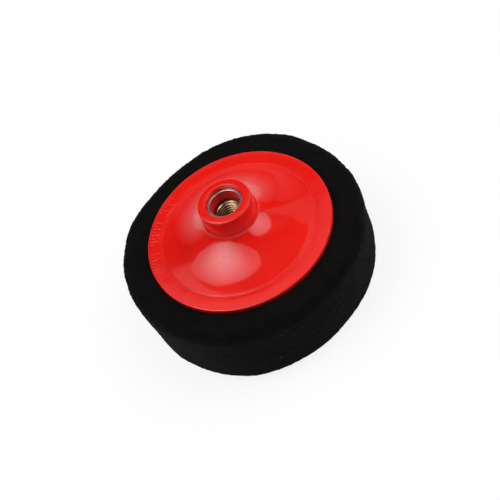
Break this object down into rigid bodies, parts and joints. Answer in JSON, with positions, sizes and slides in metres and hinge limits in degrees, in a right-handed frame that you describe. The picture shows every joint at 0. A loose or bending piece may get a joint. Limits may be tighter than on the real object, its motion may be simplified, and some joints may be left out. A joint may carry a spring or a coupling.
{
  "type": "foam polishing pad",
  "caption": "Round open-cell foam polishing pad bonded to a domed plastic backing plate with a threaded hub for a rotary polisher's spindle.",
  "frame": {"origin": "centre of the foam's working face, on the spindle axis", "axes": "+Z along the spindle axis from the working face to the hub's mouth; X and Y across the pad, where the raised marks on the rim lie around -X"},
  "size_m": [0.1496, 0.1496, 0.0755],
  "materials": {
    "foam": "matte",
    "adhesive": "satin",
    "red_plastic": "gloss",
    "brass": "satin",
    "steel": "satin"
  },
  "bodies": {
    "root": {"foam_pad": "foam", "bond_layer": "adhesive", "backing_plate": "red_plastic", "threaded_insert": "brass", "seat_ring": "steel"}
  },
  "joints": []
}
